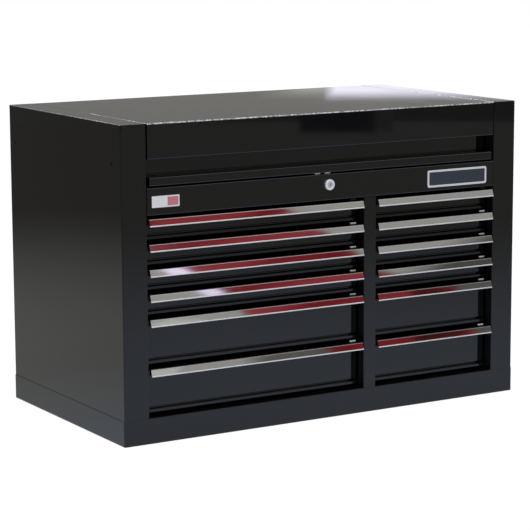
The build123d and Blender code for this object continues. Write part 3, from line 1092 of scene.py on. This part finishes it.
@dataclass
class Studio:
    """White floor and sky, flags and cards that only reflections see, and the lamps."""

    floor_half: float = 12.0
    # The floor lies a hair below the chest, so that the two don't share a plane
    floor_level: float = -0.2 * MM
    floor_tone: str = "#e9e9e7"
    # The glow and the light on the paper together come to white on the open floor
    floor_glow: float = 0.8
    floor_white: float = 1.17
    sky_fill: float = 0.45
    flag_radius: float = 7.0
    flag_height: float = 4.2
    flag_rise: float = 2 * MM
    front_grade: FloorGrade = FloorGrade(0.5, 3.6, 0.84, 0.3, "#dfeaff", "#fffdf6")
    rear_grade: FloorGrade = FloorGrade(1.2, 3.8, 0.58, 0.13, "#f4f6ee", "#fdf8f0")
    # How far before and behind the chest's middle the front grade gives way to the rear one
    grade_blend: float = 0.5
    wall_sides: int = 48
    wall_tone: str = "#fdfbf6"
    # Heights on the wall and its light at the lower and the upper one; its foot goes on from the
    # far floor
    wall_foot_grade: tuple[float, float, float, float] = (0.0, 1.0, 0.13, 0.27)
    wall_head_grade: tuple[float, float, float, float] = (1.8, 2.8, 0.0, 0.08)
    cards: tuple[ReflectorCard, ...] = (
        ReflectorCard(
            "red_card", PULLS_BEARING, 4.0,
            ((-0.90, 2.40), (-0.735, 2.17), (-0.595, 2.03), (-0.445, 1.883), (-0.385, 1.76),
             (-0.22, 1.62), (-0.065, 1.48), (0.03, 1.25), (0.52, 1.25), (0.50, 1.343),
             (0.455, 1.546), (0.225, 1.685), (0.15, 1.74), (0.085, 1.84), (-0.035, 1.98),
             (-0.155, 2.12), (-0.31, 2.40)),
            (0.025, 0.025), "#a13f47", "#76151b", "#2a1012", light=0.74,
        ),
        ReflectorCard(
            "pale_card", PULLS_BEARING, 3.95,
            ((-0.735, 2.1), (-0.505, 1.85), (-0.465, 1.85), (-0.69, 2.1)),
            (0.03, 0.03), "#f2e6ff", "#e6d6ff", "#6a3a86", light=1.2,
        ),
        ReflectorCard(
            "low_grey_card", PULLS_BEARING, 4.1,
            ((-0.35, 1.15), (0.8, 1.15), (0.8, 1.78), (0.6, 1.73), (0.4, 1.68), (0.2, 1.64),
             (0.0, 1.6), (-0.35, 1.57)),
            (0.14, 0.1), "#5c5b59", "#4c4b49", "#646361",
        ),
        ReflectorCard(
            "red_card_shade", PULLS_BEARING, 3.97,
            ((0.28, 1.3), (0.47, 1.28), (0.46, 1.36), (0.43, 1.53), (0.3, 1.62)),
            (0.05, 0.05), "#4e1a1b", "#32100f", "#451415",
        ),
        ReflectorCard(
            "low_pale_card", PULLS_BEARING, 4.1,
            ((-1.0, 1.6), (-0.76, 1.62), (-0.6, 1.76), (-0.57, 1.82), (-0.7, 1.88), (-1.0, 1.9)),
            (0.04, 0.03), "#f4f4f2", "#ecece9", "#c8c8c6", light=0.58,
        ),
        ReflectorCard(
            "white_card", TOP_BEARING, 4.6,
            ((-0.62, 0.3), (0.14, 0.3), (0.14, 1.064), (-0.62, 1.058)),
            (0.08, 0.056), "#f8f4ff", "#f2eefc", "#d8d4e4", light=1.6,
        ),
        ReflectorCard(
            "white_card_wing", TOP_BEARING, 4.65,
            ((0.1, 0.3), (0.27, 0.3), (0.27, 1.06), (0.1, 1.07)),
            (0.36, 0.065), "#f4f4ee", "#eeeee8", "#b8b8b2", light=0.66,
        ),
        ReflectorCard(
            "dark_card", LID_BEARING, 5.74,
            ((-0.15, 0.085), (0.2, 0.085), (0.2, 0.2), (-0.15, 0.2)),
            (0.02, 0.04), "#3a3c42", "#373940", "#424448",
        ),
        ReflectorCard(
            "dark_card_edge", LID_BEARING, 5.76,
            ((0.18, 0.085), (0.29, 0.085), (0.29, 0.2), (0.18, 0.2)),
            (0.02, 0.04), "#77787c", "#747579", "#808185",
        ),
    )
    lamps: tuple[StripLamp, ...] = (
        StripLamp("lamp_front", (-0.5, -1.5, 2.7), 2.2, 0.5, 6.0),
        StripLamp("lamp_rear", (0.3, 1.9, 2.3), 2.4, 0.35, 6.0),
        StripLamp("lamp_left", (-2.4, -0.4, 2.3), 0.4, 1.6, 4.0),
    )

    def seen_directly(self, tree: Tree) -> Socket:
        """Tells rays from the camera, from gloss and through glass from the rest.

        Args:
            tree: The tree that asks.

        Returns:
            1 for those rays and 0 for the rest.
        """
        path = add_node(tree, "ShaderNodeLightPath")
        both = add_node(tree, "ShaderNodeMath", {
            0: path.outputs["Is Camera Ray"], 1: path.outputs["Is Glossy Ray"],
        }, operation="MAXIMUM")
        return add_node(tree, "ShaderNodeMath", {
            0: both.outputs[0], 1: path.outputs["Is Transmission Ray"],
        }, operation="MAXIMUM").outputs[0]

    def build_sky(self) -> None:
        """Makes the world white where it is seen, and a soft fill where it only lights."""
        world = bpy.data.worlds.new("white_studio")
        tree = empty_tree(world)
        strength = add_node(tree, "ShaderNodeMapRange", {
            "Value": self.seen_directly(tree), "To Min": self.sky_fill, "To Max": 1.0,
        })
        sky = add_node(tree, "ShaderNodeBackground", {
            "Color": linear(WHITE), "Strength": strength.outputs[0],
        })
        add_node(tree, "ShaderNodeOutputWorld", {"Surface": sky.outputs[0]})
        bpy.context.scene.world = world

    def build_floor(self) -> None:
        """Lays the pale floor, which glows where it is seen and still takes the chest's shadow."""
        material = bpy.data.materials.new("pale_studio_floor")
        tree = empty_tree(material)
        paper = add_node(tree, "ShaderNodeBsdfDiffuse", {"Color": linear(self.floor_tone)})
        glow = add_node(tree, "ShaderNodeEmission", {
            "Color": linear(WHITE), "Strength": self.floor_white,
        })
        share = add_node(tree, "ShaderNodeMath", {
            0: self.seen_directly(tree), 1: self.floor_glow,
        }, operation="MULTIPLY")
        mixed = add_node(tree, "ShaderNodeMixShader", {
            0: share.outputs[0], 1: paper.outputs[0], 2: glow.outputs[0],
        })
        add_node(tree, "ShaderNodeOutputMaterial", {"Surface": mixed.outputs[0]})
        self.flat_sheet("studio_floor", self.floor_half, self.floor_level, material)

    def flat_sheet(
        self, name: str, half: float, level: float, material: bpy.types.Material,
    ) -> bpy.types.Object:
        """Lays a square sheet about the origin.

        Args:
            name: Name of the sheet.
            half: Half of its side.
            level: Its height.
            material: Its material.

        Returns:
            The sheet.
        """
        signs = ((-1, -1), (1, -1), (1, 1), (-1, 1))
        corners = [Vector((sx * half, sy * half, level)) for sx, sy in signs]
        sheet = link_mesh(name, corners, [[0, 1, 2, 3]], [material])
        return sheet

    def build_floor_flag(self) -> None:
        """Lays the flag that makes the floor's reflection fall off away from the chest."""
        material = bpy.data.materials.new("graded_floor_flag")
        tree = empty_tree(material)
        place = add_node(tree, "ShaderNodeTexCoord").outputs["Object"]
        length = add_node(tree, "ShaderNodeVectorMath", {0: place}, operation="LENGTH")
        distance = length.outputs["Value"]
        axes = add_node(tree, "ShaderNodeSeparateXYZ", {0: place})
        rear = add_node(tree, "ShaderNodeMapRange", {
            "Value": axes.outputs["Y"],
            "From Min": -self.grade_blend, "From Max": self.grade_blend,
        })
        tone = add_node(tree, "ShaderNodeMixRGB", {
            "Fac": rear.outputs[0],
            "Color1": self.front_grade.colour(tree, distance),
            "Color2": self.rear_grade.colour(tree, distance),
        })
        glow = add_node(tree, "ShaderNodeEmission", {"Color": tone.outputs[0]})
        add_node(tree, "ShaderNodeOutputMaterial", {"Surface": glow.outputs[0]})
        flag = self.flat_sheet("floor_flag", self.flag_radius, self.flag_rise, material)
        only_in_reflections(flag)

    def build_wall_flag(self) -> None:
        """Stands a grey wall round the stage, for the horizon that the gloss shows."""
        material = bpy.data.materials.new("grey_wall_flag")
        tree = empty_tree(material)
        place = add_node(tree, "ShaderNodeTexCoord").outputs["Object"]
        axes = add_node(tree, "ShaderNodeSeparateXYZ", {0: place})
        foot_light, head_light = (
            add_node(tree, "ShaderNodeMapRange", {
                "Value": axes.outputs["Z"], "From Min": low, "From Max": high,
                "To Min": low_light, "To Max": high_light,
            }, interpolation_type="SMOOTHSTEP").outputs[0]
            for low, high, low_light, high_light in (self.wall_foot_grade, self.wall_head_grade)
        )
        light = add_node(tree, "ShaderNodeMath", {0: foot_light, 1: head_light}, operation="ADD")
        glow = add_node(tree, "ShaderNodeEmission", {
            "Color": linear(self.wall_tone), "Strength": light.outputs[0],
        })
        add_node(tree, "ShaderNodeOutputMaterial", {"Surface": glow.outputs[0]})
        foot, head = (
            circle_loop(Vector(), self.flag_radius, level, self.wall_sides)
            for level in (0, self.flag_height)
        )
        wall = link_mesh("wall_flag", foot + head, ring_faces(self.wall_sides), [material])
        only_in_reflections(wall)

    def build(self) -> None:
        """Sets up the whole studio."""
        self.build_sky()
        self.build_floor()
        self.build_floor_flag()
        self.build_wall_flag()
        for card in self.cards:
            card.build()
        for lamp in self.lamps:
            lamp.build()
        LOG.info("studio: %d cards and %d lamps", len(self.cards), len(self.lamps))


@dataclass
class PhotoCamera:
    """The camera that sees the chest as the photograph does."""

    place: tuple[float, float, float] = (-2.5318, -4.1977, 1.1414)
    yaw: float = math.radians(31.12)
    pitch: float = math.radians(-9.61)
    roll: float = math.radians(-0.23)
    lens: float = 142.74
    sensor: float = 36.0
    clip_end: float = 100.0

    def build(self) -> None:
        """Sets up the camera."""
        level = math.cos(self.pitch)
        ahead = Vector((math.sin(self.yaw) * level, math.cos(self.yaw) * level, math.sin(self.pitch)))
        right = Vector((math.cos(self.yaw), -math.sin(self.yaw), 0))
        above = right.cross(ahead)
        turned_right = right * math.cos(self.roll) + above * math.sin(self.roll)
        turned_above = above * math.cos(self.roll) - right * math.sin(self.roll)
        data = bpy.data.cameras.new("photo_camera")
        data.lens = self.lens
        data.sensor_fit = "HORIZONTAL"
        data.sensor_width = self.sensor
        data.clip_end = self.clip_end
        camera = bpy.data.objects.new("photo_camera", data)
        turn = Matrix((turned_right, turned_above, -ahead)).transposed().to_4x4()
        camera.matrix_world = Matrix.Translation(self.place) @ turn
        bpy.context.scene.collection.objects.link(camera)
        bpy.context.scene.camera = camera


def main() -> None:
    """Builds and dresses every sub-assembly in order."""
    logging.basicConfig(level=logging.INFO, format="%(message)s")
    bpy.context.scene.view_settings.view_transform = "Standard"
    for painted in (CaseShell(), LiftLid(), Lock(), GasStruts(), DrawerBanks()):
        painted.dress()
    fittings = (LiftLid(), MakersPlate(), PrintedLabel(), HingeRivets(), Studio(), PhotoCamera())
    for fitting in fittings:
        fitting.build()


if __name__ == "__main__":
    main()
